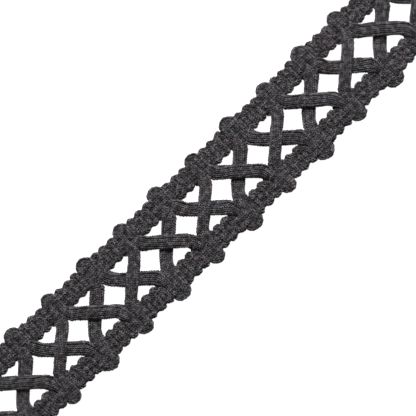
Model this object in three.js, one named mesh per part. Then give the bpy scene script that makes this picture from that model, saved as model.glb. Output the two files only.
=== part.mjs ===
// A flat length of openwork braid trim in dark heathered yarn.
//
// Two ribbed headings run along X. Two knitted cords zigzag between them and cross halfway,
// one always above the other. Each cord crosses a heading in a trough between the ribs,
// turns round in a small loop outside it, and comes back beside itself.
// Millimetres, +Z up. The back of the braid lies on z = 0 and its face looks along +Z.

import * as THREE from "three";
import { mergeVertices } from "three/addons/utils/BufferGeometryUtils.js";

// The repeat and the length
const PITCH = 19.05; // from one loop to the next along a heading
const REPEATS = 13;
const END_MARGIN = 5.3; // heading left beyond the first and the last loop

// How the length lies: straight, then drawn a little to one side and a little narrower
const DRIFT = 0.85;
const NARROWING = 0.022;
const DRIFT_FROM = 160;
const DRIFT_TO = 204;

// The headings, measured from the middle of the braid
const HEADING_INNER = 8.1;
const HEADING_OUTER = 16.55;
const RIB_PITCH = 2.09; // from one pass of the fine cord to the next
const RIBS = 6; // passes between two loops
const RIB_TOP = 3.0;
const RIB_VALLEY = 2.3;
const EDGE_BULGE = 0.2; // the fine cord's turns stand out at the edges
const EDGE_NOTCH = 0.45; // and leave notches between them
const FLOOR_TOP = 0.9; // what is left of the heading under a lattice cord
const TROUGH_HALF = 3.35; // room for two legs of a cord side by side
const TROUGH_WALL = 0.05;
const CORNER = 0.5;

// The lattice cords
const CORD_HALF_HEIGHT = 1.25;
const CORD_HALF = 2.45; // half the width of a free strand
const LEG_HALF = 1.35; // half the width where the heading grips it
const LEG_OFFSET = 1.6; // the middle of a leg, from the middle of its loop
const LEG_LEVEL = 2.45; // heights are those of the cord's middle
const LEG_INNER = 10.4;
const LEG_OUTER = 14.9;
const OVER_LEVEL = 4.2;
const UNDER_LEVEL = 1.3;
const LOOP_LEVEL = 2.05;
const CORD_SIDES = 8;
const CORD_STEP = 3.6; // about one ring for each such length of strand

// One strand on its way across, from the middle of the loop that it leaves.
// along runs with the braid and across towards the heading that it goes to.
const OVER_STRAND = [
  { along: LEG_OFFSET, across: -LEG_INNER, half: LEG_HALF, level: LEG_LEVEL },
  { along: 1.85, across: -9.3, half: 1.6, level: LEG_LEVEL },
  { along: 2.3, across: -8.1, half: 2.1, level: LEG_LEVEL },
  { along: 2.95, across: -6.8, half: 2.6, level: 2.5 },
  { along: 4.3, across: -5.1, half: CORD_HALF, level: 2.8 },
  { along: 7.5, across: -2.15, half: CORD_HALF, level: 4.0 },
  { along: 9.35, across: -0.4, half: CORD_HALF, level: OVER_LEVEL },
  { along: 11.2, across: 1.35, half: CORD_HALF, level: 4.0 },
  { along: 15.0, across: 4.85, half: 2.4, level: 2.85 },
  { along: 16.2, across: 6.6, half: 2.4, level: 2.5 },
  { along: 16.75, across: 8.1, half: 2.1, level: LEG_LEVEL },
  { along: 17.2, across: 9.3, half: 1.6, level: LEG_LEVEL },
  { along: PITCH - LEG_OFFSET, across: LEG_INNER, half: LEG_HALF, level: LEG_LEVEL },
];
const UNDER_STRAND = [
  { along: LEG_OFFSET, across: -LEG_INNER, half: LEG_HALF, level: LEG_LEVEL },
  { along: 2.0, across: -9.2, half: 1.7, level: LEG_LEVEL },
  { along: 2.5, across: -8.1, half: 2.2, level: LEG_LEVEL },
  { along: 2.9, across: -6.6, half: 2.5, level: 2.2 },
  { along: 4.45, across: -3.95, half: 2.5, level: 1.65 },
  { along: 8.7, across: 0.5, half: CORD_HALF, level: UNDER_LEVEL },
  { along: 11.0, across: 2.3, half: CORD_HALF, level: 1.35 },
  { along: 14.95, across: 5.0, half: CORD_HALF, level: 1.85 },
  { along: 16.15, across: 6.65, half: 2.45, level: 2.25 },
  { along: 16.75, across: 8.1, half: 2.1, level: LEG_LEVEL },
  { along: 17.2, across: 9.3, half: 1.6, level: LEG_LEVEL },
  { along: PITCH - LEG_OFFSET, across: LEG_INNER, half: LEG_HALF, level: LEG_LEVEL },
];

// The loops: reach is how far the loop's tip stands from the middle of the braid,
// radius and rise are the half width and the height of the turn's middle line,
// shoulder is how far out the heading reaches beside the loop.
const LOOPS = {
  over: {
    upper: { reach: 18.6, radius: 1.6, rise: 1.55, half: 1.45, shoulder: 15.3 },
    lower: { reach: 18.9, radius: 1.5, rise: 1.5, half: 1.4, shoulder: 15.3 },
  },
  under: {
    upper: { reach: 19.2, radius: 1.8, rise: 1.75, half: 1.65, shoulder: 14.8 },
    lower: { reach: 20.1, radius: 2.05, rise: 2.2, half: 1.65, shoulder: 14.8 },
  },
};
const LOOP_TURN_STEPS = 4;
const LOOP_UNEVEN = 0.12; // no two loops reach quite as far

const YARN = { color: "#434144", roughness: 0.95, metalness: 0 };
const YARN_DEEP = { color: "#3b393c", roughness: 0.95, metalness: 0 };

// Where a point across the straight braid comes to lie.
function lie(x, y) {
  const share = THREE.MathUtils.smoothstep(x, DRIFT_FROM, DRIFT_TO);
  return y * (1 - NARROWING * share) + DRIFT * share;
}

// A closed skin over rings of points: a capped cylinder whose points move on to the rings.
// The points of a ring turn from left to up, seen along the way that the rings run.
function skin(rings) {
  const steps = rings.length - 1;
  const sides = rings[0].length;
  const geometry = new THREE.CylinderGeometry(1, 1, steps, sides, steps);
  geometry.deleteAttribute("normal");
  geometry.deleteAttribute("uv");
  const place = geometry.getAttribute("position");
  const point = new THREE.Vector3();
  for (let i = 0; i < place.count; i += 1) {
    point.fromBufferAttribute(place, i);
    const ring = rings[Math.round(point.y + steps / 2)];
    const side = Math.round((Math.atan2(point.x, point.z) / (2 * Math.PI)) * sides + sides) % sides;
    const target = Math.hypot(point.x, point.z) < 0.5 ? middleOf(ring) : ring[side];
    place.setXYZ(i, target.x, target.y, target.z);
  }
  const closed = mergeVertices(geometry, 1e-5);
  closed.computeVertexNormals();
  return closed;
}

function middleOf(ring) {
  const sum = new THREE.Vector3();
  for (const point of ring) {
    sum.add(point);
  }
  return sum.divideScalar(ring.length);
}

// Which loop stands at a node, on the upper (+1) or the lower (-1) heading.
function loopAt(node, side) {
  const kind = (node % 2 === 0) === (side > 0) ? "under" : "over";
  return LOOPS[kind][side > 0 ? "upper" : "lower"];
}

// The sections of one heading: place along the braid, height, inner and outer edge.
function headingStations(side) {
  const stations = [];
  const firstRib = (PITCH - (RIBS - 1) * RIB_PITCH) / 2;
  for (let node = 0; node <= REPEATS; node += 1) {
    const x = node * PITCH;
    const outer = loopAt(node, side).shoulder;
    const wall = { top: RIB_VALLEY, inner: LEG_INNER, outer };
    const floor = { top: FLOOR_TOP, inner: LEG_INNER - 0.6, outer };
    stations.push({ x: x - TROUGH_HALF - TROUGH_WALL, ...wall });
    stations.push({ x: x - TROUGH_HALF, ...floor });
    stations.push({ x, top: FLOOR_TOP, inner: HEADING_INNER + 0.2, outer: LEG_OUTER + 0.7 });
    stations.push({ x: x + TROUGH_HALF, ...floor });
    stations.push({ x: x + TROUGH_HALF + TROUGH_WALL, ...wall });
    for (let rib = 0; rib < RIBS && node < REPEATS; rib += 1) {
      stations.push(...ribStations(x + firstRib + rib * RIB_PITCH, rib));
    }
  }
  const last = REPEATS * PITCH;
  const cut = { top: RIB_VALLEY, inner: HEADING_INNER + 0.5, outer: HEADING_OUTER };
  const rib = { top: RIB_TOP, inner: HEADING_INNER + 1.2, outer: HEADING_OUTER - 0.1 };
  stations.unshift({ x: -END_MARGIN, ...cut }, { x: -firstRib, ...rib });
  stations.push({ x: last + firstRib, ...rib }, { x: last + END_MARGIN, ...cut });
  return stations;
}

// One pass of the fine cord and the valley after it. The turns at the edges come in pairs:
// an outer turn joins passes 0-1, 2-3 and 4-5, and an inner turn joins 1-2 and 3-4.
function ribStations(x, rib) {
  const fromEnd = Math.min(rib, RIBS - 1 - rib);
  const flare = fromEnd === 0 ? 1.2 : 0; // room for the cord that widens beside the trough
  const peak = { x, top: RIB_TOP, inner: HEADING_INNER + flare, outer: HEADING_OUTER };
  if (rib === RIBS - 1) {
    return [peak];
  }
  const outerTurn = rib % 2 === 0;
  const valley = {
    x: x + RIB_PITCH / 2,
    top: RIB_VALLEY,
    inner: HEADING_INNER + (outerTurn ? EDGE_NOTCH : -EDGE_BULGE),
    outer: HEADING_OUTER + (outerTurn ? EDGE_BULGE : -EDGE_NOTCH),
  };
  return [peak, valley];
}

function headingRing(station, side) {
  const { x, top, inner, outer } = station;
  const profile = [
    [outer - CORNER, 0],
    [outer, 0.45 * top],
    [outer - CORNER, 0.85 * top],
    [outer - 2.4 * CORNER - 1, top],
    [inner + 2.4 * CORNER + 1, top],
    [inner + CORNER, 0.85 * top],
    [inner, 0.45 * top],
    [inner + CORNER, 0],
  ];
  const ring = profile.map(([y, z]) => new THREE.Vector3(x, lie(x, side * y), z));
  return side > 0 ? ring : ring.reverse();
}

function heading(name, side, finish) {
  const rings = headingStations(side).map((station) => headingRing(station, side));
  const mesh = new THREE.Mesh(skin(rings), new THREE.MeshStandardMaterial(finish));
  mesh.name = name;
  return mesh;
}

// The stations of a whole cord, with its legs and loops, from the first loop to the last.
function cordStations(strand, startsUp) {
  const stations = [];
  for (let node = 0; node <= REPEATS; node += 1) {
    const side = (node % 2 === 0) === startsUp ? 1 : -1;
    stations.push(...loopStations(node, side));
    if (node < REPEATS) {
      stations.push(...strandStations(node * PITCH, -side, strand));
    }
  }
  const first = strand.slice(1, 3).reverse();
  const back = first.map((row) => ({ ...row, along: -row.along }));
  const onward = strand.slice(1, 3);
  const start = placeRows(back, 0, startsUp ? -1 : 1);
  start.push(legStation(-LEG_OFFSET, (startsUp ? 1 : -1) * LEG_INNER));
  const endsUp = (REPEATS % 2 === 0) === startsUp;
  const end = [legStation(REPEATS * PITCH + LEG_OFFSET, (endsUp ? 1 : -1) * LEG_INNER)];
  end.push(...placeRows(onward, REPEATS * PITCH, endsUp ? -1 : 1));
  return [...start, ...stations, ...end];
}

function placeRows(rows, x, direction) {
  return rows.map(({ along, across, half, level }) => ({
    x: x + along,
    y: direction * across,
    half,
    level,
  }));
}

function legStation(x, y) {
  return { x, y, half: LEG_HALF, level: LEG_LEVEL };
}

// A strand from the node at x, rising (+1) or falling (-1), with rings between far rows.
function strandStations(x, direction, strand) {
  const rows = placeRows(strand, x, direction);
  const route = new THREE.CatmullRomCurve3(
    rows.map((row) => new THREE.Vector3(row.x, row.y, row.level)),
  );
  const stations = [rows[0]];
  for (let i = 1; i < rows.length; i += 1) {
    const reach = Math.hypot(rows[i].x - rows[i - 1].x, rows[i].y - rows[i - 1].y);
    const steps = Math.max(1, Math.round(reach / CORD_STEP));
    for (let step = 1; step <= steps; step += 1) {
      const share = step / steps;
      const point = route.getPoint((i - 1 + share) / (rows.length - 1));
      const half = THREE.MathUtils.lerp(rows[i - 1].half, rows[i].half, share);
      stations.push({ x: point.x, y: point.y, half, level: point.z });
    }
  }
  return stations;
}

// The turn round outside a heading, from the leg that arrives to the leg that leaves.
function loopStations(node, side) {
  const loop = loopAt(node, side);
  const x = node * PITCH;
  const reach = loop.reach + LOOP_UNEVEN * Math.sin(2.3 * node + side);
  const base = reach - loop.half - loop.rise;
  const stations = [legStation(x - LEG_OFFSET, side * LEG_OUTER)];
  for (let step = 0; step <= LOOP_TURN_STEPS; step += 1) {
    const turn = (Math.PI * step) / LOOP_TURN_STEPS;
    stations.push({
      x: x - loop.radius * Math.cos(turn),
      y: side * (base + loop.rise * Math.sin(turn)),
      half: loop.half,
      level: THREE.MathUtils.lerp(LEG_LEVEL, LOOP_LEVEL, Math.sin(turn)),
    });
  }
  stations.push(legStation(x + LEG_OFFSET, side * LEG_OUTER));
  return stations;
}

// A flattened eight-sided section, square to the way that the cord runs.
function cordRing(station, before, after) {
  const centre = new THREE.Vector3(station.x, lie(station.x, station.y), station.level);
  const way = new THREE.Vector3(after.x - before.x, after.y - before.y, after.level - before.level);
  way.normalize();
  const left = new THREE.Vector3(0, 0, 1).cross(way).normalize();
  const up = new THREE.Vector3().crossVectors(way, left);
  const outward = 1 / Math.cos(Math.PI / CORD_SIDES);
  const ring = [];
  for (let side = 0; side < CORD_SIDES; side += 1) {
    const angle = ((side + 0.5) * 2 * Math.PI) / CORD_SIDES;
    const point = centre.clone();
    point.addScaledVector(left, station.half * outward * Math.cos(angle));
    point.addScaledVector(up, CORD_HALF_HEIGHT * outward * Math.sin(angle));
    ring.push(point);
  }
  return ring;
}

function latticeCord(name, strand, startsUp, finish) {
  const stations = cordStations(strand, startsUp);
  const rings = stations.map((station, i) => {
    const before = stations[Math.max(i - 1, 0)];
    const after = stations[Math.min(i + 1, stations.length - 1)];
    return cordRing(station, before, after);
  });
  const mesh = new THREE.Mesh(skin(rings), new THREE.MeshStandardMaterial(finish));
  mesh.name = name;
  return mesh;
}

const braid = new THREE.Group();
braid.add(heading("upper_heading", 1, YARN));
braid.add(heading("lower_heading", -1, YARN));
braid.add(latticeCord("over_lattice_cord", OVER_STRAND, false, YARN));
braid.add(latticeCord("under_lattice_cord", UNDER_STRAND, true, YARN_DEEP));

// The origin is under the middle of the length, on the surface that the braid lies on.
const bounds = new THREE.Box3().setFromObject(braid);
const centre = bounds.getCenter(new THREE.Vector3());
braid.position.set(-centre.x, -centre.y, -bounds.min.z);

export default braid;
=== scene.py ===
"""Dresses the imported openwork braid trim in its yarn.

The two lattice cords are knitted tubes whose stitches stand on a core. Each heading is a finer
knitted cord worked back and forth over straight warp cords. The studio holds the photograph's
camera, floor and light. Lengths are millimetres until a mesh is made, which is in metres.
"""

from __future__ import annotations

import logging
import math
from bisect import bisect_right
from collections.abc import Iterable, Sequence
from dataclasses import dataclass, replace
from enum import Enum
from functools import cached_property
from typing import Any

import bmesh
import bpy
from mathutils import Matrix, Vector

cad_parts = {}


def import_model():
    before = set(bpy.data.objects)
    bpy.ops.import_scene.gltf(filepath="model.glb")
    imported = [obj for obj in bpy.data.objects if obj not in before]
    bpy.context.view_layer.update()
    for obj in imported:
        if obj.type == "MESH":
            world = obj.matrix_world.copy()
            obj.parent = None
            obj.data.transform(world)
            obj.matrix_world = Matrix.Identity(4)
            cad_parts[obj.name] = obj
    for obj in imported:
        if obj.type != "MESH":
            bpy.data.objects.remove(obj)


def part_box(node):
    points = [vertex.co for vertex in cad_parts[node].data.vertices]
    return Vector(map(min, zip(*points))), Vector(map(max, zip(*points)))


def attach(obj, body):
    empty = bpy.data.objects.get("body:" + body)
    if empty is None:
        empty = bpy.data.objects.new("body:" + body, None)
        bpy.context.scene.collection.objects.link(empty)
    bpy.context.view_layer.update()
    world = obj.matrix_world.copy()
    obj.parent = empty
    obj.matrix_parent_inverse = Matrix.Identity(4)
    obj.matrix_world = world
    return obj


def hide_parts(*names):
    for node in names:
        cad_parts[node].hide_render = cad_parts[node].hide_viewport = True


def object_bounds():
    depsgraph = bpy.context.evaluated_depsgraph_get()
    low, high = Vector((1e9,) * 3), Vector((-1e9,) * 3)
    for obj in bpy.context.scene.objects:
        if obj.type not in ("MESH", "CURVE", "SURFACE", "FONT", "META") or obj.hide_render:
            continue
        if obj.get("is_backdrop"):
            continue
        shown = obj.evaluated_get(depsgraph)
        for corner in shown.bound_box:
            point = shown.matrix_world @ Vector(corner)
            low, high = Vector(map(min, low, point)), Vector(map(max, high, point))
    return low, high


LOG = logging.getLogger("braid")
MM = 0.001
BODY = "root"
WHITE = (1.0, 1.0, 1.0)


class Side(Enum):
    """The two long sides of the braid."""

    UPPER = 1
    LOWER = -1


class Run(Enum):
    """How a lattice cord passes the other one."""

    OVER = "over"
    UNDER = "under"


@dataclass(frozen=True)
class Station:
    """One place on a cord's middle line.

    Attributes:
        x: Place along the braid, from the first loop.
        y: Place across it, from its middle.
        half: Half the cord's width.
        height: Half the cord's height.
        level: Height of the cord's middle over the surface.
        dark: Painted shade on its yarn there. Below 0 it is painted light.
    """

    x: float
    y: float
    half: float
    height: float
    level: float
    dark: float = 0.0

    def toward(self, other: Station, share: float) -> Station:
        """The place that lies this share of the way to another one."""
        rest = 1 - share
        return Station(
            self.x * rest + other.x * share,
            self.y * rest + other.y * share,
            self.half * rest + other.half * share,
            self.height * rest + other.height * share,
            self.level * rest + other.level * share,
            self.dark * rest + other.dark * share,
        )

    def distance(self, other: Station) -> float:
        """How far another station's middle is."""
        return math.dist((self.x, self.y, self.level), (other.x, other.y, other.level))


@dataclass(frozen=True)
class Row:
    """A row of a strand's table.

    Attributes:
        along: Place along the braid, from the loop that the strand leaves.
        across: Place across it, from its middle toward the side that the strand goes to.
        half: Half the cord's width there.
        level: Height of its middle there.
    """

    along: float
    across: float
    half: float
    level: float


@dataclass(frozen=True)
class Loop:
    """A lattice cord's turn outside a heading.

    Attributes:
        reach: From the middle of the braid to the tip.
        radius: Half the width of the turn's middle line.
        rise: How far its middle line goes out from where the turn starts.
        half: Half the cord's width there.
        lean: How far the tip stands along the braid from its legs.
        shoulder: How much wider the turn is where it leaves the heading.
    """

    reach: float
    radius: float
    rise: float
    half: float
    lean: float
    shoulder: float = 0.0


@dataclass(frozen=True)
class Binding:
    """The rows along a heading where everything in it is drawn in.

    Attributes:
        rows: Pairs of a row's place from the heading's inner edge and its strength.
        pinch: How much a cord is narrower there, as a share of its width.
        dent: How much it is lower there, as a share of its height.
        painted_row_shade: How much painted shade it gets there. Below 0 it gets painted light.
        width: How long the dent in a cord is.
    """

    rows: tuple[tuple[float, float], ...]
    pinch: float = 0.08
    dent: float = 0.3
    painted_row_shade: float = 0.0
    width: float = 0.5

    def press(self, station: Station, from_edge: float) -> Station:
        """Draws a cord in where it lies this far from the heading's inner edge."""
        # Painted shade or light follows the same rows as the dent.
        bite = sum(force * bump(from_edge, place, self.width) for place, force in self.rows)
        return replace(
            station,
            half=station.half * (1 - self.pinch * bite),
            height=station.height * (1 - self.dent * bite),
            dark=station.dark + self.painted_row_shade * bite,
        )


@dataclass(frozen=True)
class Legs:
    """The two legs of a loop, which lie side by side over a heading.

    Attributes:
        places: A pair for each leg, first the one that arrives: its place along the braid from
            the loop's middle, and its height.
        binding: The rows where they are drawn in.
    """

    places: tuple[tuple[float, float], tuple[float, float]]
    binding: Binding


def bump(value: float, middle: float, width: float) -> float:
    """A smooth rise of 1 at the middle that dies away within about two widths."""
    return math.exp(-(((value - middle) / width) ** 2))


def smoothstep(value: float, low: float, high: float) -> float:
    """Rises smoothly from 0 at low to 1 at high."""
    share = min(max((value - low) / (high - low), 0.0), 1.0)
    return share * share * (3 - 2 * share)


def spline(stations: Sequence[Station], steps: int) -> list[Station]:
    """Rounds a line of stations with a Catmull-Rom curve whose knots follow the distances.

    Args:
        stations: The places that the line passes through.
        steps: How many pieces each stretch is cut into.

    Returns:
        The finer line, from the first station to the last.
    """
    beyond, least = -0.3, 1e-6
    before_all = stations[0].toward(stations[1], beyond)
    after_all = stations[-1].toward(stations[-2], beyond)
    line = [before_all, *stations, after_all]
    made = [stations[0]]
    for before, start, end, after in zip(line, line[1:], line[2:], line[3:]):
        stretches = ((before, start), (start, end), (end, after))
        knots = [0.0]
        for first, second in stretches:
            knots.append(knots[-1] + math.sqrt(max(first.distance(second), least)))
        for step in range(1, steps + 1):
            at = knots[1] + (knots[2] - knots[1]) * step / steps
            low = [
                first.toward(second, (at - knots[i]) / (knots[i + 1] - knots[i]))
                for i, (first, second) in enumerate(stretches)
            ]
            middle = [
                low[i].toward(low[i + 1], (at - knots[i]) / (knots[i + 2] - knots[i]))
                for i in range(2)
            ]
            round_one = middle[0].toward(middle[1], (at - knots[1]) / (knots[2] - knots[1]))
            even = start.toward(end, step / steps)
            made.append(replace(even, x=round_one.x, y=round_one.y, level=round_one.level))
    return made


def evenly(
    stations: Sequence[Station], spacing: float, flat: float = 0.0, stretch: float = 1.0
) -> list[Station]:
    """Cuts a line of stations into equal lengths.

    Args:
        stations: The line.
        spacing: The length wanted, which is fitted to the whole line.
        flat: The half height under which the cord is pulled flat.
        stretch: How many times longer a length is there.

    Returns:
        Stations that far apart, with both ends.
    """
    reached = [0.0]
    for first, second in zip(stations, stations[1:]):
        pulled = stretch if first.height < flat else 1.0
        reached.append(reached[-1] + first.distance(second) / pulled)
    count = max(2, round(reached[-1] / spacing))
    least = 1e-9
    made, place = [], 0
    for step in range(count + 1):
        at = reached[-1] * step / count
        while place < len(stations) - 2 and reached[place + 1] < at:
            place += 1
        gap = max(reached[place + 1] - reached[place], least)
        share = min(max((at - reached[place]) / gap, 0.0), 1.0)
        made.append(stations[place].toward(stations[place + 1], share))
    return made


@dataclass(frozen=True)
class BraidPlan:
    """The sizes that every piece of the braid shares.

    Attributes:
        pitch: From one loop to the next on the same side.
        repeats: Pitches from the first loop to the last.
        end_margin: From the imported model's end to the first loop.
        drift: How far the braid has moved to its upper side at its far end.
        narrowing: How much narrower it is there, as a share of its width.
        drift_from: Where along the braid the drift starts.
        drift_to: Where it ends.
        heading_inner: From the middle of the braid to a heading's inner edge.
        heading_outer: From the middle to its outer edge.
        edge_bulge: How far the passes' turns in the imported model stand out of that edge.
        leg_half: Half the width of a loop's leg.
        leg_level: Height of a loop's middle line where its turn starts.
        leg_inner: From the middle of the braid to the inner end of a leg.
        leg_outer: From the middle to its outer end.
    """

    pitch: float = 19.05
    repeats: int = 13
    end_margin: float = 5.3
    drift: float = 0.85
    narrowing: float = 0.022
    drift_from: float = 160.0
    drift_to: float = 204.0
    heading_inner: float = 8.1
    heading_outer: float = 16.55
    edge_bulge: float = 0.2
    leg_half: float = 1.55
    leg_level: float = 2.45
    leg_inner: float = 10.4
    leg_outer: float = 14.9

    def lie(self, x: float, y: float) -> float:
        """Where a point across the straight braid comes to lie."""
        share = smoothstep(x, self.drift_from, self.drift_to)
        return y * (1 - self.narrowing * share) + self.drift * share

    @cached_property
    def shift(self) -> tuple[float, float]:
        """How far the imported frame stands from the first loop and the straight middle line."""
        low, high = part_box("upper_heading")
        edge = self.heading_outer + self.edge_bulge
        length = self.pitch * self.repeats
        widest = max(self.lie(0, edge), self.lie(length, edge))
        return low.x / MM + self.end_margin, high.y / MM - widest

    def place(self, x: float, y: float, level: float) -> Vector:
        """A point of the straight braid, in the frame's metres."""
        shift_x, shift_y = self.shift
        return Vector((x + shift_x, self.lie(x, y) + shift_y, level)) * MM


class Wire:
    """A node's output, with the operators that node maths is written in."""

    def __init__(self, bench: Bench, socket: bpy.types.NodeSocket) -> None:
        """Holds the socket and the bench that its node stands on."""
        self.bench = bench
        self.socket = socket

    def maths(self, operation: str, *values: Wire | float) -> Wire:
        """Adds a Math node that works on these values in order."""
        settings = {"operation": operation}
        return self.bench.node("ShaderNodeMath", settings, dict(enumerate(values)))

    def __add__(self, other: Wire | float) -> Wire:
        """self + other."""
        return self.maths("ADD", self, other)

    def __radd__(self, other: float) -> Wire:
        """other + self."""
        return self.maths("ADD", other, self)

    def __sub__(self, other: Wire | float) -> Wire:
        """self - other."""
        return self.maths("SUBTRACT", self, other)

    def __rsub__(self, other: float) -> Wire:
        """other - self."""
        return self.maths("SUBTRACT", other, self)

    def __mul__(self, other: Wire | float) -> Wire:
        """self * other."""
        return self.maths("MULTIPLY", self, other)

    def __rmul__(self, other: float) -> Wire:
        """other * self."""
        return self.maths("MULTIPLY", other, self)


class Bench:
    """A node tree that is being built."""

    def __init__(self, tree: bpy.types.NodeTree) -> None:
        """Starts on an empty tree."""
        self.tree = tree
        tree.nodes.clear()

    @classmethod
    def for_cords(cls, name: str, inputs: dict[str, str]) -> tuple[Bench, list[Wire]]:
        """Starts a Geometry Nodes tree that makes cords.

        Args:
            name: The tree's name.
            inputs: The kind of each input by its name. The first is the object's own mesh.

        Returns:
            The tree's bench, and a Wire from each input.
        """
        tree = bpy.data.node_groups.new(name, "GeometryNodeTree")
        for title, kind in inputs.items():
            tree.interface.new_socket(title, in_out="INPUT", socket_type=f"NodeSocket{kind}")
        tree.interface.new_socket("Cords", in_out="OUTPUT", socket_type="NodeSocketGeometry")
        bench = cls(tree)
        return bench, [bench.node("NodeGroupInput", output=title) for title in inputs]

    def hand_out(self, cords: Wire, yarn: Wire) -> bpy.types.NodeTree:
        """Ends such a tree: the cords come out as one smooth mesh in their yarn."""
        smooth = self.node("GeometryNodeSetShadeSmooth", None, {"Geometry": cords})
        final = self.node("GeometryNodeRealizeInstances", None, {"Geometry": smooth})
        sockets = {"Geometry": final, "Material": yarn}
        self.node("NodeGroupOutput", None, {0: self.node("GeometryNodeSetMaterial", None, sockets)})
        return self.tree

    def node(
        self,
        kind: str,
        settings: dict[str, Any] | None = None,
        sockets: dict[str | int, Any] | None = None,
        output: str | int = 0,
    ) -> Wire:
        """Adds a node.

        Args:
            kind: The node's type.
            settings: Its properties. The stops of a ramp are pairs of a place and a colour.
            sockets: What each input gets, by its name or number: a value, a Wire, or a list of
                Wires where it takes several.
            output: The output that is wanted, by name or number.

        Returns:
            That output, or the first input of a node that has no output.
        """
        made = self.tree.nodes.new(kind)
        for name, value in (settings or {}).items():
            if name == "stops":
                self.set_stops(made, value)
            else:
                setattr(made, name, value)
        for key, value in (sockets or {}).items():
            target = self.find(made.inputs, key)
            if isinstance(value, (Wire, list)):
                for wire in value if isinstance(value, list) else [value]:
                    self.tree.links.new(wire.socket, target)
            else:
                target.default_value = value
        if not made.outputs:
            return Wire(self, made.inputs[0])
        return Wire(self, self.find(made.outputs, output))

    @staticmethod
    def set_stops(ramp: bpy.types.Node, stops: Sequence[tuple[float, Sequence[float]]]) -> None:
        """Gives a colour ramp these stops and no others."""
        elements = ramp.color_ramp.elements
        while len(elements) < len(stops):
            elements.new(1.0)
        for element, (place, colour) in zip(elements, stops):
            element.position = place
            element.color = (*colour, 1.0)

    @staticmethod
    def find(sockets: Any, key: str | int) -> bpy.types.NodeSocket:
        """Finds a socket by its number, or a shown one by its name."""
        if isinstance(key, int):
            return sockets[key]
        for socket in sockets:
            if socket.name == key and socket.enabled:
                return socket
        raise KeyError(f"no socket named {key}")


def start_material(name: str) -> tuple[bpy.types.Material, Bench]:
    """Makes a material whose nodes are still to come, and its bench."""
    material = bpy.data.materials.new(name)
    material.use_nodes = True
    return material, Bench(material.node_tree)


@dataclass(frozen=True)
class HeatheredYarn:
    """A matt spun yarn whose fibres are of several dark greys.

    A place's shade is the sum of painted shade from its height on the stitch, the stitch's own
    lightness, painted shade or light at the binding rows and the spun fibres. It runs from 0,
    deep, to 1, light.

    Attributes:
        name: The material's name.
        deep: The darkest colour, taken by the painted shade between stitches, on the bare core and
            on the warp cords, and by the darkest fibres.
        body: The colour of most fibres.
        light: The colour of the palest fibres.
        warm: The tint of some stitches.
        cool: The tint of others.
        body_shade: The shade that has the body's colour.
        least_shade: What every place has.
        painted_crest_shade: What the painted light on the top of a stitch adds; its foot and tips
            stay painted darker.
        fleck_shade: How far the shade follows a stitch's own lightness.
        ply_least: The share of that which every ply gets, before chance adds up to 1 to it.
        ply_draw: What parts the draws of one stitch's plies from another's.
        painted_shade_depth: What a wholly dark place takes away.
        fibre: The size of a tuft of fibres.
        fibre_shade: How far the shade follows the fibres.
        tuft: The size of a lighter or darker place.
        tuft_shade: How far the shade follows those places.
        roughness: How matt it is.
        gloss: How much less matt the raised fibres are.
        specular: How strongly it reflects.
        sheen: How much the loose fibres catch light at the edges.
        sheen_roughness: How wide that light spreads.
        relief: How far fibres stand out.
        relief_strength: How strongly that shows.
    """

    name: str
    deep: tuple[float, float, float]
    body: tuple[float, float, float]
    light: tuple[float, float, float]
    warm: tuple[float, float, float]
    cool: tuple[float, float, float]
    body_shade: float = 0.45
    least_shade: float = 0.025
    painted_crest_shade: float = 0.3
    fleck_shade: float = 0.32
    ply_least: float = 0.6
    ply_draw: float = 97.0
    painted_shade_depth: float = 0.5
    fibre: float = 0.22
    fibre_shade: float = 0.4
    tuft: float = 0.75
    tuft_shade: float = 2.1
    roughness: float = 0.92
    gloss: float = 0.12
    specular: float = 0.25
    sheen: float = 0.04
    sheen_roughness: float = 0.5
    relief: float = 0.06
    relief_strength: float = 0.8

    def make(self) -> bpy.types.Material:
        """Builds the material."""
        material, bench = start_material(self.name)
        place = bench.node("ShaderNodeTexCoord", output="Object")
        fleck, hue, lobe, crest, dark = (
            bench.node("ShaderNodeAttribute", {"attribute_name": name}, output="Fac")
            for name in ("fleck", "hue", "lobe", "crest", "dark")
        )
        draw = {"W": fleck * self.ply_draw + lobe}
        ply = bench.node("ShaderNodeTexWhiteNoise", {"noise_dimensions": "1D"}, draw, "Value")
        fibres = self.noise(bench, place, self.fibre, 3.0)
        tufts = self.noise(bench, place, self.tuft, 1.0)
        spun = (fibres - 0.5) * self.fibre_shade + (tufts - 0.5) * self.tuft_shade
        # Painted shade: stitch tops painted lighter, feet and tips darker, and the core and warp
        # cords, which have no crest, darkest.
        stitch = crest * self.painted_crest_shade + self.least_shade
        plied = fleck * (ply + self.ply_least) * self.fleck_shade
        # Painted shade at the binding rows darkens the shade; below 0 it is painted light.
        shade = stitch + plied - dark * self.painted_shade_depth + spun
        greys = [(0.0, self.deep), (self.body_shade, self.body), (1.0, self.light)]
        tints = [(0.0, self.warm), (0.5, WHITE), (1.0, self.cool)]
        grey = bench.node("ShaderNodeValToRGB", {"stops": greys}, {0: shade}, "Color")
        tint = bench.node("ShaderNodeValToRGB", {"stops": tints}, {0: hue}, "Color")
        mix = {"data_type": "RGBA", "blend_type": "MULTIPLY"}
        colour = bench.node("ShaderNodeMix", mix, {"Factor": 1.0, "A": grey, "B": tint}, "Result")
        bumps = {"Strength": self.relief_strength, "Distance": self.relief * MM, "Height": fibres}
        skin = {
            "Base Color": colour,
            "Roughness": self.roughness - fibres * self.gloss,
            "Normal": bench.node("ShaderNodeBump", None, bumps, "Normal"),
            "Specular IOR Level": self.specular,
            "Sheen Weight": self.sheen,
            "Sheen Roughness": self.sheen_roughness,
        }
        surface = bench.node("ShaderNodeBsdfPrincipled", None, skin, "BSDF")
        bench.node("ShaderNodeOutputMaterial", None, {"Surface": surface})
        return material

    @staticmethod
    def noise(bench: Bench, place: Wire, size: float, detail: float) -> Wire:
        """A noise whose spots are about this many millimetres wide."""
        sockets = {"Vector": place, "Scale": 1 / (size * 2 * MM), "Detail": detail}
        return bench.node("ShaderNodeTexNoise", None, sockets, "Fac")


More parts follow.
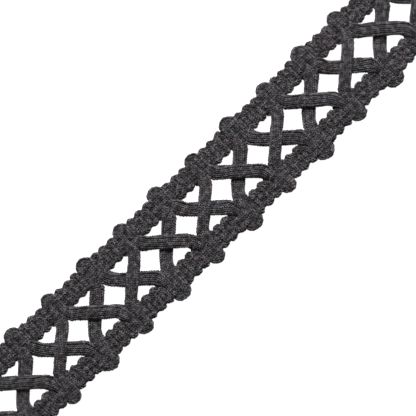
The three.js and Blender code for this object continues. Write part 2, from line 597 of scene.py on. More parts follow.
@dataclass(frozen=True)
class Knit:
    """How a cord is knitted round its core.

    Attributes:
        wales: Stitches round the cord.
        course: The length of a stitch.
        sunk: How far the core stays inside the cord's sides and inside its top.
        thickness: How high a stitch stands.
        spread: How much of its wale a stitch fills.
        uneven: How irregular the stitches are, from 0 to 1.
        seed: The seed of their random draws.
        belly: How low the cord's sides are, as a share of half its height.
        twist: How far its wales wander round it, in stitches.
    """

    wales: int
    course: float
    sunk: tuple[float, float]
    thickness: float
    spread: float
    uneven: float
    seed: int
    belly: float = 0.0
    twist: float = 0.0

    def oval_point(self, half: float, height: float, angle: float) -> tuple[float, float]:
        """A point of the core's oval, whose sides may be lower than its middle."""
        across, up = math.sin(angle), math.cos(angle)
        return half * across, height * (up - self.belly * across * across)

    def round_places(self, half: float, height: float, turned: float) -> list[tuple[float, float]]:
        """Places round the core's oval, equally far apart.

        Args:
            half: Half its width.
            height: Half its height.
            turned: How far they stand round it from being level about its top, in places.

        Returns:
            Pairs of a place to the left and a place up, one for each wale.
        """
        fine = 16 * self.wales
        angles = [2 * math.pi * i / fine for i in range(fine + 1)]
        points = [self.oval_point(half, height, angle) for angle in angles]
        reached = [0.0]
        for first, second in zip(points, points[1:]):
            reached.append(reached[-1] + math.dist(first, second))
        offset = (0.5 if self.wales % 2 == 0 else 0.0) + turned
        places = []
        for i in range(self.wales):
            wanted = reached[-1] * ((i + offset) / self.wales % 1.0)
            at = bisect_right(reached, wanted) - 1
            share = (wanted - reached[at]) / (reached[at + 1] - reached[at])
            angle = angles[at] + (angles[at + 1] - angles[at]) * share
            places.append(self.oval_point(half, height, angle))
        return places

    def wander(self, course: int) -> float:
        """How far the wales stand round the cord at a course, in stitches."""
        slow = 0.6 * math.sin(0.23 * course)
        quick = 0.4 * math.sin(0.57 * course + 1)
        return self.twist * (slow + quick)

    def core(self, name: str, plan: BraidPlan, stations: Sequence[Station]) -> bpy.types.Object:
        """A closed tube along the stations, with a point for every stitch.

        Args:
            name: The object's name.
            plan: The braid's sizes, which place it in the frame.
            stations: The courses of the cord, one ring each.

        Returns:
            The object, with way, breadth, course and painted shade on its points.
        """
        middles = [plan.place(s.x, s.y, s.level) for s in stations]
        last, wales = len(stations) - 1, self.wales
        rings: list[list[Vector]] = []
        breadths: list[float] = []
        for i, station in enumerate(stations):
            way = middles[min(i + 1, last)] - middles[max(i - 1, 0)]
            left = Vector((0, 0, 1)).cross(way).normalized()
            up = way.cross(left).normalized()
            half, height = station.half - self.sunk[0], station.height - self.sunk[1]
            places = self.round_places(half, height, self.wander(i))
            rings.append([middles[i] + (left * a + up * b) * MM for a, b in places])
            breadths += [math.dist(places[0], places[1]) * self.spread * MM] * wales
        ways: list[float] = []
        courses: list[float] = []
        for i in range(last + 1):
            after, before = min(i + 1, last), max(i - 1, 0)
            for ahead, behind in zip(rings[after], rings[before]):
                step = ahead - behind
                ways.extend(step.normalized())
                courses.append(step.length / (after - before))
        faces = [tuple(range(wales))[::-1], tuple(range(last * wales, (last + 1) * wales))]
        for a in range(0, last * wales, wales):
            for k in range(wales):
                j = (k + 1) % wales
                faces.append((a + k, a + j, a + wales + j, a + wales + k))
        mesh = bpy.data.meshes.new(name)
        mesh.from_pydata([point for ring in rings for point in ring], [], faces)
        # The core carries no painted crest, so where it shows between stitches it takes the deepest
        # painted shade.
        store(mesh, "way", ways, "FLOAT_VECTOR")
        store(mesh, "breadth", breadths)
        store(mesh, "course", courses)
        # Painted shade for each ring, or painted light where it is below 0.
        store(mesh, "dark", [station.dark for station in stations for _ in range(wales)])
        mesh.update()
        turn_outward(mesh)
        return add_object(name, mesh)


def store(
    mesh: bpy.types.Mesh, name: str, values: Iterable[float], kind: str = "FLOAT"
) -> None:
    """Writes an attribute on a mesh's points."""
    attribute = mesh.attributes.new(name, kind, "POINT")
    attribute.data.foreach_set("vector" if kind == "FLOAT_VECTOR" else "value", list(values))


def turn_outward(mesh: bpy.types.Mesh) -> None:
    """Turns every face of a closed mesh outward."""
    shape = bmesh.new()
    shape.from_mesh(mesh)
    bmesh.ops.recalc_face_normals(shape, faces=shape.faces)
    shape.to_mesh(mesh)
    shape.free()


def add_object(name: str, data: bpy.types.ID) -> bpy.types.Object:
    """Puts a mesh, a camera or a light into the scene."""
    thing = bpy.data.objects.new(name, data)
    bpy.context.scene.collection.objects.link(thing)
    return thing


@dataclass(frozen=True)
class StitchTool:
    """Sets a knitted stitch on every point of a core, by Geometry Nodes.

    A stitch is two lobes that lean apart, one unit wide and about one course long.

    Attributes:
        rings: Place along the stitch, half width and height of each ring of a lobe.
        section: The corners of a ring from side to side, for a ring of half width 1.
        foot: How far a lobe's middle stands from the stitch's.
        lean: How much further it stands for each unit along.
        reach: From the stitch's middle to the tip of a lobe.
        tips: Height of a lobe's two tips.
        painted_crest_from: What is added to a point's height for its painted light, from the
            painted shade at the foot and tips to the crest.
        sway: The most that a stitch is turned about each axis, in radians.
        swell: The least and most that is added to its width, as a share.
        lift: The least and most that is added to its thickness, as a share.
        fleck: The least and most lightness of a stitch.
        hue: The range of its tint, from warm to cool.
    """

    rings: tuple[tuple[float, float, float], ...] = ((-0.36, 0.2, -0.02), (0.30, 0.25, 0.06))
    section: tuple[tuple[float, float], ...] = (
        (-1.0, -0.35),
        (-0.62, 0.8),
        (0.62, 0.8),
        (1.0, -0.35),
    )
    foot: float = 0.26
    lean: float = 0.3
    reach: float = 0.8
    tips: tuple[float, float] = (-0.2, -0.08)
    painted_crest_from: float = 0.4
    sway: tuple[float, float, float] = (0.2, 0.18, 0.24)
    swell: tuple[float, float] = (-0.18, 0.2)
    lift: tuple[float, float] = (-0.3, 0.3)
    fleck: tuple[float, float] = (0.25, 1.0)
    hue: tuple[float, float] = (0.0, 1.0)

    @cached_property
    def stitch(self) -> bpy.types.Object:
        """The stitch that is repeated."""
        shape = bmesh.new()
        count = len(self.section)
        for hand in (-1, 1):
            loops = []
            for along, half, rise in self.rings:
                middle = hand * (self.foot + self.lean * along)
                corners = [(middle + half * a, along, rise + b) for a, b in self.section]
                loops.append([shape.verts.new(corner) for corner in corners])
            first, last = (
                shape.verts.new((hand * (self.foot + self.lean * along), along, height))
                for along, height in zip((-self.reach, self.reach), self.tips)
            )
            for i in range(count):
                j = (i + 1) % count
                shape.faces.new((first, loops[0][i], loops[0][j]))
                shape.faces.new((loops[0][i], loops[1][i], loops[1][j], loops[0][j]))
                shape.faces.new((loops[1][i], last, loops[1][j]))
        bmesh.ops.recalc_face_normals(shape, faces=shape.faces)
        mesh = bpy.data.meshes.new("stitch")
        shape.to_mesh(mesh)
        shape.free()
        # Painted shade: a point's height on the lobe sets its painted light, so the foot and tips
        # are painted darker.
        painted_crests = [max(0.0, min(1.0, self.painted_crest_from + point.co.z)) for point in mesh.vertices]
        store(mesh, "lobe", [float(point.co.x > 0) for point in mesh.vertices])
        store(mesh, "crest", painted_crests)
        return bpy.data.objects.new("stitch", mesh)

    @cached_property
    def tree(self) -> bpy.types.NodeTree:
        """The tree: a stitch on each point, turned to the core's normal and the cord's way."""
        inputs = {
            "Core": "Geometry",
            "Stitch": "Object",
            "Thickness": "Float",
            "Unevenness": "Float",
            "Seed": "Int",
            "Yarn": "Material",
        }
        bench, wires = Bench.for_cords("knitted stitches", inputs)
        core, stitch, thickness, uneven, seed, yarn = wires

        def stored(name: str, kind: str = "FLOAT") -> Wire:
            """Reads an attribute of the core."""
            node = "GeometryNodeInputNamedAttribute"
            return bench.node(node, {"data_type": kind}, {"Name": name}, "Attribute")

        def chance(low: Any, high: Any, step: int, kind: str = "FLOAT") -> Wire:
            """A value for each stitch between low and high, from the tree's seed."""
            sockets = {"Min": low, "Max": high, "Seed": seed + step}
            return bench.node("FunctionNodeRandomValue", {"data_type": kind}, sockets, "Value")

        align, scale = "FunctionNodeAlignRotationToVector", "ShaderNodeVectorMath"
        normal = bench.node("GeometryNodeInputNormal")
        upright = bench.node(align, {"axis": "Z"}, {"Vector": normal})
        way = {"Rotation": upright, "Vector": stored("way", "FLOAT_VECTOR")}
        along = bench.node(align, {"axis": "Y", "pivot_axis": "Z"}, way)
        back = tuple(-most for most in self.sway)
        sway = chance(back, self.sway, 1, "FLOAT_VECTOR")
        eased = bench.node(scale, {"operation": "SCALE"}, {0: sway, "Scale": uneven})
        turn = bench.node(
            "FunctionNodeRotateRotation",
            {"rotation_space": "LOCAL"},
            {"Rotation": along, "Rotate By": eased},
        )
        sizes = {
            "X": stored("breadth") * (1 + chance(*self.swell, 2) * uneven),
            "Y": stored("course"),
            "Z": thickness * (1 + chance(*self.lift, 3) * uneven),
        }
        size = bench.node("ShaderNodeCombineXYZ", None, sizes)
        original = {"transform_space": "ORIGINAL"}
        model = bench.node("GeometryNodeObjectInfo", original, {"Object": stitch}, "Geometry")
        set_down = {"Points": core, "Instance": model, "Rotation": turn, "Scale": size}
        stitches = bench.node("GeometryNodeInstanceOnPoints", None, set_down)
        for name, extent, step in (("fleck", self.fleck, 4), ("hue", self.hue, 5)):
            stitches = bench.node(
                "GeometryNodeStoreNamedAttribute",
                {"data_type": "FLOAT", "domain": "INSTANCE"},
                {"Geometry": stitches, "Name": name, "Value": chance(*extent, step)},
            )
        realized = bench.node("GeometryNodeRealizeInstances", None, {"Geometry": stitches})
        where = bench.node("GeometryNodeInputPosition")
        spot = {axis: bench.node("ShaderNodeSeparateXYZ", None, {0: where}, axis) for axis in "XYZ"}
        spot["Z"] = spot["Z"].maths("MAXIMUM", spot["Z"], 0.0)
        pressed = bench.node("ShaderNodeCombineXYZ", None, spot)
        laid = {"Geometry": realized, "Position": pressed}
        on_floor = bench.node("GeometryNodeSetPosition", None, laid)
        joined = bench.node("GeometryNodeJoinGeometry", None, {"Geometry": [on_floor, core]})
        return bench.hand_out(joined, yarn)

    def knit(self, core: bpy.types.Object, knit: Knit, yarn: bpy.types.Material) -> None:
        """Covers a core with stitches and leaves a plain mesh.

        Args:
            core: The tube whose points carry way, breadth and course.
            knit: How the cord is knitted.
            yarn: The finish of the stitches.
        """
        values = {
            "Stitch": self.stitch,
            "Thickness": knit.thickness * MM,
            "Unevenness": knit.uneven,
            "Seed": knit.seed,
            "Yarn": yarn,
        }
        apply_tree(core, self.tree, values)

    def put_away(self) -> None:
        """Removes the loose stitch once every cord is made."""
        mesh = self.stitch.data
        bpy.data.objects.remove(self.stitch)
        bpy.data.meshes.remove(mesh)


def apply_tree(thing: bpy.types.Object, tree: bpy.types.NodeTree, values: dict[str, Any]) -> None:
    """Runs a Geometry Nodes tree on an object and keeps the result as its plain mesh.

    Args:
        thing: The object, whose mesh is replaced.
        tree: The tree.
        values: A value for each input, by the input's name.
    """
    modifier = thing.modifiers.new("make", "NODES")
    modifier.node_group = tree
    for item in tree.interface.items_tree:
        if item.in_out == "INPUT" and item.name in values:
            modifier[item.identifier] = values[item.name]
    graph = bpy.context.evaluated_depsgraph_get()
    made = bpy.data.meshes.new_from_object(thing.evaluated_get(graph))
    thing.modifiers.remove(modifier)
    for slot in reversed(range(len(made.materials))):
        if made.materials[slot] is None:
            made.materials.pop(index=slot)
    before = thing.data
    thing.data = made
    made.name = thing.name
    bpy.data.meshes.remove(before)


def hand_in(piece: bpy.types.Object, node: str) -> None:
    """Lets a piece ride with the braid and stand for its CAD node."""
    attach(piece, BODY)
    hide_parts(node)


@dataclass(frozen=True)
class LatticeCord:
    """A flat knitted cord that zigzags between the headings and loops round outside them.

    Attributes:
        run: Whether it passes over the other cord or under it.
        starts: The side of its first loop.
        strand: The rows of one crossing, from a loop on one side to a loop on the other.
        loops: Its loop on each side.
        legs: The loop's legs on each side.
        knit: How it is knitted.
        settled_rising: How far its rising strands lie toward the upper side, in the middle.
        settled: The same for its falling strands.
        rising_slimmer: How much slimmer half a rising strand is than half a falling one.
        height: Half the cord's height.
        steps: The pieces that a leg, a loop's turn and a stretch between two stations each are
            drawn in.
        loop_level: Height of a loop's tip.
        loop_uneven: How much some loops reach further out than others.
        loop_rhythm: How fast that changes from loop to loop, in radians.
        lean_start: The share of its lean that a loop has where its turn starts.
        pucker: How much lower every other station of a loop's turn is, as a share.
        nip: How much narrower it is there, as a share.
    """

    run: Run
    starts: Side
    strand: tuple[Row, ...]
    loops: dict[Side, Loop]
    legs: dict[Side, Legs]
    knit: Knit
    settled_rising: float
    settled: float = 0.28
    rising_slimmer: float = 0.17
    height: float = 1.25
    steps: int = 8
    loop_level: float = 2.05
    loop_uneven: float = 0.12
    loop_rhythm: float = 2.3
    lean_start: float = 0.35
    pucker: float = 0.24
    nip: float = 0.05

    @property
    def name(self) -> str:
        """The name of the CAD node that the cord stands for."""
        return f"{self.run.value}_lattice_cord"

    def make(
        self, plan: BraidPlan, tool: StitchTool, yarn: bpy.types.Material
    ) -> bpy.types.Object:
        """Builds the knitted cord in its CAD node's place.

        Args:
            plan: The braid's sizes.
            tool: What sets the stitches.
            yarn: The finish.

        Returns:
            The finished piece.
        """
        courses = evenly(spline(self.route(plan), self.steps), self.knit.course)
        piece = self.knit.core(f"{self.name}_knit", plan, courses)
        tool.knit(piece, self.knit, yarn)
        hand_in(piece, self.name)
        return piece

    def side_of(self, node: int) -> Side:
        """The side of the cord's loop at a node."""
        return self.starts if node % 2 == 0 else Side(-self.starts.value)

    def route(self, plan: BraidPlan) -> list[Station]:
        """The whole cord from one cut end to the other."""
        last = plan.repeats
        stations = self.crossing(plan, self.strand[2:0:-1], 0, -1)
        for node in range(last):
            stations += self.turn(plan, node)
            stations += self.crossing(plan, self.strand[1:-1], node, 1)
        stations += self.turn(plan, last)
        return stations + self.crossing(plan, self.strand[1:3], last, 1)

    def crossing(
        self, plan: BraidPlan, rows: Sequence[Row], node: int, way: int
    ) -> list[Station]:
        """Some rows of a strand.

        Args:
            plan: The braid's sizes.
            rows: The rows, in the order wanted.
            node: The loop that the strand leaves.
            way: 1 for the strand that goes onward from there, -1 for the one that goes back.

        Returns:
            A station for each row.
        """
        made = []
        direction = -self.side_of(node).value
        rising = direction * way > 0
        settled = self.settled_rising if rising else self.settled
        for row in rows:
            middle = max(0.0, 1 - (row.across / self.strand[0].across) ** 2)
            half = row.half - self.rising_slimmer * middle * rising
            x = node * plan.pitch + way * row.along
            y = direction * row.across + settled * middle
            made.append(Station(x, y, half, self.height, row.level))
        return made

    def turn(self, plan: BraidPlan, node: int) -> list[Station]:
        """The leg that arrives at a node, the turn outside the heading and the leg that leaves."""
        arriving, leaving = (
            self.leg(plan, node, offset, level)
            for offset, level in self.legs[self.side_of(node)].places
        )
        return [*arriving, *self.bend(plan, node), *leaving[::-1]]

    def leg(self, plan: BraidPlan, node: int, offset: float, level: float) -> list[Station]:
        """A leg, from its inner end to its outer one.

        Args:
            plan: The braid's sizes.
            node: The loop that it belongs to.
            offset: Its place along the braid from the loop's middle.
            level: Its height.

        Returns:
            Its stations.
        """
        side = self.side_of(node)
        made = []
        for i in range(self.steps + 1):
            y = plan.leg_inner + (plan.leg_outer - plan.leg_inner) * i / self.steps
            x = node * plan.pitch + offset
            plain = Station(x, side.value * y, plan.leg_half, self.height, level)
            made.append(self.legs[side].binding.press(plain, y - plan.heading_inner))
        return made

    def bend(self, plan: BraidPlan, node: int) -> list[Station]:
        """A loop's turn, from the leg that arrives to the one that leaves."""
        side = self.side_of(node)
        loop = self.loops[side]
        reach = loop.reach + self.loop_uneven * math.sin(self.loop_rhythm * node + side.value)
        base = reach - loop.half - loop.rise
        made = []
        for step in range(self.steps + 1):
            angle = math.pi * step / self.steps
            risen, odd = math.sin(angle), step % 2
            wide = loop.radius + loop.shoulder * (1 - risen)
            lean = loop.lean * (self.lean_start + (1 - self.lean_start) * risen)
            from_middle = base + loop.rise * risen
            plain = Station(
                node * plan.pitch - wide * math.cos(angle) + lean,
                side.value * from_middle,
                loop.half * (1 - self.nip * odd),
                self.height * (1 - self.pucker * odd),
                plan.leg_level + (self.loop_level - plan.leg_level) * risen,
            )
            made.append(self.legs[side].binding.press(plain, from_middle - plan.heading_inner))
        return made


@dataclass(frozen=True)
class Heading:
    """A band worked in a fine knitted cord that goes back and forth across it.

    Attributes:
        side: The side of the braid.
        knit: How the fine cord is knitted.
        binding: Where the passes are drawn in.
        shift: How far its passes stand along the braid from their even places.
        skew: How much further their outer ends stand.
        inner_reach: How far its inner edge lies nearer the middle than the plan's.
        outer_reach: How far its outer turns stand out of the plan's edge.
        tips: How much further out the passes reach, after even loops and after odd ones.
        passes: Passes of the fine cord between two loops.
        pass_pitch: From one pass to the next.
        half: Half the fine cord's width.
        height: Half its height.
        level: Height of its middle.
        corner: From an end of a pass to where it runs straight.
        shoulder: Where the turn's shoulder lies within the corner, as a share of it.
        turn_reach: How far a turn's end and its shoulder stand toward the next pass, as shares
            of half the pitch.
        turn_size: The cord's size at that end, as a share.
        sways: How wide and how fast the passes wander, slowly and quickly.
        stray: How much of that a pass's inner end, its outer end and its place follow.
        end_reach: How much nearer the middle a pass next to a loop ends.
        end_height: Half its height there, where it lies on the surface.
        end_flare: From the other passes' inner end to where it is at full height.
        back_half: Half the width of the two flat passes behind each loop.
        back_height: Half their height.
        back_level: Height of their middle.
        back_offset: Their place either side of the loop's middle.
        back_inner: How far their inner ends stay inside the heading's inner edge.
        back_outer: From the middle of the braid to their outer ends.
        back_lean: How far their two ends stand along the braid.
        back_tip: The size of their ends, as a share of their width.
        back_stretch: How many times longer a stitch is in them.
    """

    side: Side
    knit: Knit
    binding: Binding
    shift: float
    skew: float
    inner_reach: float
    outer_reach: float
    tips: tuple[tuple[float, ...], tuple[float, ...]]
    passes: int = 6
    pass_pitch: float = 2.09
    half: float = 1.1
    height: float = 1.45
    level: float = 1.5
    corner: float = 1.0
    shoulder: float = 0.45
    turn_reach: tuple[float, float] = (0.72, 0.16)
    turn_size: float = 0.93
    sways: tuple[tuple[float, float], tuple[float, float]] = ((0.16, 1.7), (0.08, 4.1))
    stray: tuple[float, float, float] = (0.5, 0.7, 0.3)
    end_reach: float = 0.55
    end_height: float = 0.8
    end_flare: float = 2.2
    back_half: float = 2.0
    back_height: float = 0.42
    back_level: float = 0.45
    back_offset: float = 1.75
    back_inner: float = 0.2
    back_outer: float = 17.0
    back_lean: float = 0.5
    back_tip: float = 0.9
    back_stretch: float = 1.7

    @property
    def name(self) -> str:
        """The name of the CAD node that the heading stands for."""
        return f"{self.side.name.lower()}_heading"

    def make(
        self, plan: BraidPlan, tool: StitchTool, yarn: bpy.types.Material
    ) -> bpy.types.Object:
        """Builds the fine cord's passes in the CAD node's place.

        Args:
            plan: The braid's sizes.
            tool: What sets the stitches.
            yarn: The finish.

        Returns:
            The finished piece.
        """
        flat = self.height / 2
        line = spline(self.route(plan), steps=6)
        courses = [
            self.binding.press(station, abs(station.y) - plan.heading_inner)
            if station.height > flat
            else station
            for station in evenly(line, self.knit.course, flat, self.back_stretch)
        ]
        piece = self.knit.core(f"{self.name}_passes", plan, courses)
        tool.knit(piece, self.knit, yarn)
        hand_in(piece, self.name)
        return piece

    def margin(self, plan: BraidPlan) -> float:
        """From a loop's middle to the pass next to it."""
        return (plan.pitch - (self.passes - 1) * self.pass_pitch) / 2

    def wander(self, number: int) -> float:
        """A small shift of a pass, so that no two stand quite alike."""
        (wide, slow), (narrow, quick) = self.sways
        side = self.side.value
        return wide * math.sin(slow * number + side) + narrow * math.sin(quick * number)

    def route(self, plan: BraidPlan) -> list[Station]:
        """The fine cord's middle line, from the first pass to the last."""
        margin = self.margin(plan)
        line = self.tall_pass(plan, -margin, 0, outward=False, ends=True)
        count = 1
        for node in range(plan.repeats + 1):
            x = node * plan.pitch
            line += self.flat_pass(plan, x - self.back_offset)
            line += self.flat_pass(plan, x + self.back_offset)[::-1]
            for number in range(self.passes if node < plan.repeats else 1):
                ends = number in (0, self.passes - 1)
                at = x + margin + number * self.pass_pitch
                tip = self.tips[node % 2][number]
                line += self.tall_pass(plan, at, count, number % 2 == 0, ends, tip)
                count += 1
        return line

    def tall_pass(
        self,
        plan: BraidPlan,
        x: float,
        number: int,
        outward: bool,
        ends: bool,
        tip: float = 0.0,
    ) -> list[Station]:
        """One rib across the heading, with the halves of the turns at its two ends.

        Args:
            plan: The braid's sizes.
            x: Its place.
            number: Its number, for the small differences between passes.
            outward: Whether it runs from the inner edge to the outer one.
            ends: Whether it stands next to a loop, so that its inner end dips to the back.
            tip: How much further out it reaches than the others.

        Returns:
            Its stations in the way that it runs.
        """
        lean = self.wander(number)
        inner_stray, outer_stray, place_stray = self.stray
        near = plan.heading_inner - self.inner_reach + self.half + inner_stray * abs(lean)
        far = plan.heading_outer + self.outer_reach - self.half + outer_stray * lean + tip
        turn = self.pass_pitch / 2 if outward else -self.pass_pitch / 2
        end, shoulder = (share * turn for share in self.turn_reach)
        bent = self.shoulder * self.corner
        rows = [
            (-end, near, self.turn_size),
            (-shoulder, near + bent, 1.0),
            (0.0, near + self.corner, 1.0),
            (0.0, (near + far) / 2, 1.0),
            (0.0, far - self.corner, 1.0),
            (shoulder, far - bent, 1.0),
            (end, far, self.turn_size),
        ]
        side = self.side.value
        made = []
        for shift, y, size in rows:
            skewed = self.skew * (y - near) / (far - near)
            spot = x + shift + self.shift + skewed + place_stray * lean
            made.append(Station(spot, side * y, self.half * size, self.height * size, self.level))
        if ends:
            edge = side * (near - self.end_reach)
            low = Station(x + self.shift, edge, self.half, self.end_height, self.end_height)
            start = replace(made[2], y=side * (near + self.end_flare))
            made = [low, start, *made[4:]]
        return made if outward else made[::-1]

    def flat_pass(self, plan: BraidPlan, x: float) -> list[Station]:
        """One of the two thin passes behind a loop's legs, from its inner end to its outer one."""
        near = plan.heading_inner + self.back_half + self.back_inner
        far = self.back_outer - self.back_half
        rows = (
            (-self.back_lean, near, self.back_tip),
            (0.0, near + self.corner, 1.0),
            (0.0, far - self.corner, 1.0),
            (self.back_lean, far, self.back_tip),
        )
        made = []
        for shift, y, size in rows:
            across, half = self.side.value * y, self.back_half * size
            made.append(Station(x + shift, across, half, self.back_height, self.back_level))
        return made


@dataclass(frozen=True)
class WarpCords:
    """The straight cords that show along a heading, between its passes and behind the loops.

    Attributes:
        heading: The heading that they run along.
        radius: Half a cord's thickness.
        inside: Height of its middle inside the passes.
        behind: Its height behind a loop's legs.
        clear: How far from a loop's middle it starts to rise.
        climb: How far along the braid it rises.
        count: How many cords lie side by side.
        edge: How far the outermost ones lie from the heading's edges.
        step: How far apart the points of their middle lines are.
        facets: The faces round a cord.
    """

    heading: Heading
    radius: float = 0.82
    inside: float = 1.65
    behind: float = 0.82
    clear: float = 2.8
    climb: float = 1.0
    count: int = 6
    edge: float = 1.15
    step: float = 0.7
    facets: int = 8

    def make(self, plan: BraidPlan, yarn: bpy.types.Material) -> bpy.types.Object:
        """Builds the cords of one heading as one piece.

        Args:
            plan: The braid's sizes.
            yarn: The finish.

        Returns:
            The finished piece.
        """
        points: list[Vector] = []
        edges: list[tuple[int, int]] = []
        inner = plan.heading_inner + self.edge
        spread = plan.heading_outer - self.edge - inner
        for number in range(self.count):
            start = len(points)
            points += self.line(plan, inner + spread * number / (self.count - 1))
            edges += [(i, i + 1) for i in range(start, len(points) - 1)]
        name = f"{self.heading.name}_warp"
        mesh = bpy.data.meshes.new(name)
        mesh.from_pydata(points, edges, [])
        piece = add_object(name, mesh)
        # The cords carry no painted crest, so they take the deepest painted shade in the heading's
        # gaps.
        apply_tree(piece, self.tree(), {"Radius": self.radius * MM, "Yarn": yarn})
        hand_in(piece, self.heading.name)
        return piece

    def line(self, plan: BraidPlan, y: float) -> Iterable[Vector]:
        """The middle line of one cord, inside the passes and behind the loops."""
        margin = self.heading.margin(plan)
        length = plan.pitch * plan.repeats + 2 * margin
        count = round(length / self.step)
        for i in range(count + 1):
            x = -margin + i * length / count
            from_node = abs((x + plan.pitch / 2) % plan.pitch - plan.pitch / 2)
            share = smoothstep(from_node, self.clear, self.clear + self.climb)
            level = self.behind + (self.inside - self.behind) * share
            yield plan.place(x, self.heading.side.value * y, level)

    def tree(self) -> bpy.types.NodeTree:
        """Turns lines into closed round cords."""
        inputs = {"Lines": "Geometry", "Radius": "Float", "Yarn": "Material"}
        bench, (lines, radius, yarn) = Bench.for_cords("round cords", inputs)
        ring = {"Resolution": self.facets, "Radius": radius}
        sockets = {
            "Curve": bench.node("GeometryNodeMeshToCurve", None, {"Mesh": lines}),
            "Profile Curve": bench.node("GeometryNodeCurvePrimitiveCircle", None, ring),
            "Fill Caps": True,
        }
        return bench.hand_out(bench.node("GeometryNodeCurveToMesh", None, sockets), yarn)


@dataclass(frozen=True)
class Studio:
    """The photograph's camera, the pale surface and the light.

    Attributes:
        aim: The point of the braid in the middle of the view, in the frame's millimetres.
        roll: How far the braid climbs to the right in the view, in degrees.
        span: The width of the view at the braid, in millimetres.
        distance: From the camera to the braid, in millimetres.
        sensor: The width of the camera's sensor, in millimetres.
        clip: The nearest and furthest that it sees, in metres.
        floor_size: The width of the surface, in metres.
        floor_gap: How far it lies under the braid, in millimetres.
        floor_tone: How much light it sends back.
        floor_glow: How brightly it glows.
        sky: How bright the light from all round is.
        key_power: The power of the soft light, in watts.
        key_size: Its width, in metres.
        key_up: How far it stands toward the top of the view, in metres.
        key_left: How far it stands to the view's left, in metres.
        key_height: How high it hangs, in metres.
    """

    aim: tuple[float, float, float] = (1.013, -0.798, 2.4)
    roll: float = 44.473
    span: float = 157.77
    distance: float = 900.0
    sensor: float = 36.0
    clip: tuple[float, float] = (0.05, 20.0)
    floor_size: float = 4.0
    floor_gap: float = 0.01
    floor_tone: float = 0.12
    floor_glow: float = 1.0
    sky: float = 0.25
    key_power: float = 46.4
    key_size: float = 0.5
    key_up: float = 0.9
    key_left: float = 0.17
    key_height: float = 0.82

    def build(self) -> None:
        """Sets up the camera, the surface and the light."""
        scene = bpy.context.scene
        scene.view_settings.view_transform = "Standard"
        self.make_camera(scene)
        self.make_floor()
        self.make_sky(scene)
        self.make_key()

    def make_camera(self, scene: bpy.types.Scene) -> None:
        """A long lens straight above the braid."""
        data = bpy.data.cameras.new("camera")
        data.sensor_width = self.sensor
        data.lens = self.sensor * self.distance / self.span
        data.clip_start, data.clip_end = self.clip
        camera = add_object("camera", data)
        x, y, z = self.aim
        camera.location = Vector((x, y, z + self.distance)) * MM
        camera.rotation_euler = (0, 0, -math.radians(self.roll))
        scene.camera = camera

    def make_floor(self) -> None:
        """A large white surface that glows a little, as paper does in a light tent."""
        half, level = self.floor_size / 2, -self.floor_gap * MM
        signs = ((-1, -1), (1, -1), (1, 1), (-1, 1))
        mesh = bpy.data.meshes.new("floor")
        mesh.from_pydata([(half * x, half * y, level) for x, y in signs], [], [(0, 1, 2, 3)])
        material, bench = start_material("white paper")
        paper = {
            "Base Color": (self.floor_tone, self.floor_tone, self.floor_tone, 1.0),
            "Roughness": 0.9,
            "Specular IOR Level": 0.1,
            "Emission Color": (*WHITE, 1.0),
            "Emission Strength": self.floor_glow,
        }
        surface = bench.node("ShaderNodeBsdfPrincipled", None, paper, "BSDF")
        bench.node("ShaderNodeOutputMaterial", None, {"Surface": surface})
        mesh.materials.append(material)
        add_object("floor", mesh)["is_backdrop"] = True

    def make_sky(self, scene: bpy.types.Scene) -> None:
        """Even white light from all round."""
        world = bpy.data.worlds.new("light tent")
        world.use_nodes = True
        bench = Bench(world.node_tree)
        even = {"Color": (*WHITE, 1.0), "Strength": self.sky}
        light = bench.node("ShaderNodeBackground", None, even)
        bench.node("ShaderNodeOutputWorld", None, {"Surface": light})
        scene.world = world

    def make_key(self) -> None:
        """A soft light from the top of the view."""
        data = bpy.data.lights.new("key", "AREA")
        data.energy = self.key_power
        data.size = self.key_size
        key = add_object("key", data)
        turn = math.radians(self.roll)
        up = Vector((math.sin(turn), math.cos(turn), 0))
        right = Vector((math.cos(turn), -math.sin(turn), 0))
        place = up * self.key_up - right * self.key_left + Vector((0, 0, self.key_height))
        key.location = place
        key.rotation_euler = (-place).to_track_quat("-Z", "Y").to_euler()


PLAN = BraidPlan()
LEG_ROWS = {
    Side.UPPER: ((2.3, 0.9), (5.1, 0.8), (8.3, 1.0)),
    Side.LOWER: ((0.0, 0.6), (3.0, 1.0), (6.4, 0.8)),
}
# Painted light: the legs' yarn is painted lighter at their binding rows.
LEG_BINDING = {
    side: Binding(rows, pinch=0.1, dent=0.5, painted_row_shade=-0.09, width=0.8)
    for side, rows in LEG_ROWS.items()
}
LEGS = {
    Side.UPPER: Legs(((-1.9, 2.3), (1.5, 2.6)), LEG_BINDING[Side.UPPER]),
    Side.LOWER: Legs(((-1.35, 2.3), (1.85, 2.6)), LEG_BINDING[Side.LOWER]),
}
CORD_KNIT = Knit(
    wales=8,
    course=0.93,
    sunk=(-0.05, 0.46),
    thickness=0.47,
    spread=0.88,
    uneven=0.5,
    seed=11,
    belly=0.6,
    twist=0.25,
)
OVER_CORD = LatticeCord(
    run=Run.OVER,
    starts=Side.LOWER,
    strand=(
        Row(1.6, -10.4, 1.48, 2.45),
        Row(1.8, -9.3, 1.8, 2.45),
        Row(2.05, -8.1, 2.4, 2.45),
        Row(2.6, -6.6, 2.7, 2.5),
        Row(4.05, -5.1, 2.4, 2.8),
        Row(7.5, -2.15, 2.5, 3.5),
        Row(9.4, -0.4, 2.55, 3.68),
        Row(11.4, 1.35, 2.5, 3.5),
        Row(15.4, 4.85, 2.45, 2.85),
        Row(16.6, 6.6, 2.6, 2.5),
        Row(17.1, 8.1, 2.25, 2.45),
        Row(17.4, 9.3, 1.65, 2.45),
        Row(17.45, 10.4, 1.48, 2.45),
    ),
    loops={
        Side.UPPER: Loop(18.75, 1.65, 1.4, 1.8, -0.4),
        Side.LOWER: Loop(19.0, 1.5, 1.4, 1.75, 0.4),
    },
    legs=LEGS,
    knit=CORD_KNIT,
    settled_rising=0.22,
    rising_slimmer=0.42,
)
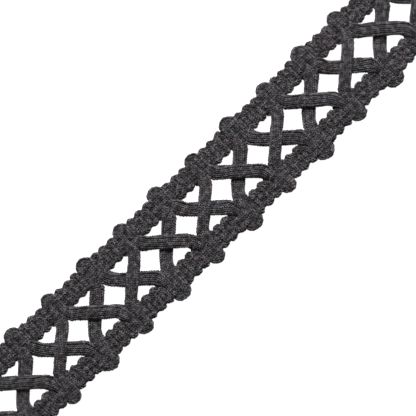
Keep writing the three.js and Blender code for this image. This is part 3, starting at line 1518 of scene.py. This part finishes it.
UNDER_CORD = LatticeCord(
    run=Run.UNDER,
    starts=Side.UPPER,
    strand=(
        Row(1.6, -10.4, 1.48, 2.45),
        Row(1.9, -9.2, 1.85, 2.45),
        Row(2.25, -8.1, 2.4, 2.45),
        Row(2.8, -6.5, 2.7, 2.3),
        Row(4.4, -4.0, 2.45, 1.95),
        Row(8.7, 0.2, 2.6, 1.85),
        Row(11.5, 2.4, 2.6, 1.85),
        Row(14.5, 5.0, 2.65, 2.05),
        Row(16.2, 6.6, 2.85, 2.25),
        Row(17.0, 8.1, 2.45, 2.45),
        Row(17.4, 9.3, 1.7, 2.45),
        Row(17.45, 10.4, 1.48, 2.45),
    ),
    loops={
        Side.UPPER: Loop(19.25, 1.85, 1.4, 2.05, -0.25),
        Side.LOWER: Loop(19.95, 1.75, 1.9, 2.05, 0.45, 0.5),
    },
    legs=LEGS,
    knit=replace(CORD_KNIT, belly=0.4, seed=12),
    settled_rising=-0.2,
)
HEADING_KNIT = Knit(
    wales=5,
    course=0.9,
    sunk=(0.2, 0.38),
    thickness=0.44,
    spread=1.15,
    uneven=0.8,
    seed=21,
)
HEADINGS = (
    Heading(
        side=Side.UPPER,
        knit=HEADING_KNIT,
        binding=Binding(((2.1, 0.8), (5.0, 1.0), (7.1, 0.6))),
        shift=-0.45,
        skew=-0.1,
        inner_reach=0.3,
        outer_reach=0.45,
        tips=((0.1, 0.1, 0.0, 0.0, -0.2, -0.2), (0.0, 0.0, -0.1, -0.1, 0.1, 0.2)),
    ),
    Heading(
        side=Side.LOWER,
        knit=replace(HEADING_KNIT, seed=22),
        binding=Binding(((1.1, 0.5), (3.2, 1.0), (6.0, 0.9))),
        shift=0.1,
        skew=0.3,
        inner_reach=0.5,
        outer_reach=0.25,
        tips=((0.0, -0.15, 0.1, 0.1, 0.1, 0.3), (0.3, 0.0, 0.2, 0.2, 0.1, 0.2)),
    ),
)
YARN = HeatheredYarn(
    name="charcoal heather yarn",
    deep=(0.003, 0.0028, 0.003),
    body=(0.0238, 0.0218, 0.0238),
    light=(0.080, 0.074, 0.080),
    warm=(1.13, 0.955, 0.99),
    cool=(0.93, 1.0, 1.08),
)


def count_triangles(piece: bpy.types.Object) -> int:
    """How many triangles a piece has."""
    return sum(len(face.vertices) - 2 for face in piece.data.polygons)


def main() -> None:
    """Builds the braid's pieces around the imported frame, and the studio."""
    logging.basicConfig(level=logging.INFO, format="%(name)s: %(message)s")
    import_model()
    solid_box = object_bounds()
    Studio().build()
    tool = StitchTool()
    yarn = YARN.make()
    pieces = [cord.make(PLAN, tool, yarn) for cord in (OVER_CORD, UNDER_CORD)]
    for heading in HEADINGS:
        pieces.append(heading.make(PLAN, tool, yarn))
        pieces.append(WarpCords(heading).make(PLAN, yarn))
    tool.put_away()
    for piece in pieces:
        LOG.info("%s: %d triangles", piece.name, count_triangles(piece))
    sizes = {"cad": solid_box, "visual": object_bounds()}
    plain = {name: [list(corner) for corner in box] for name, box in sizes.items()}


if __name__ == "__main__":
    main()
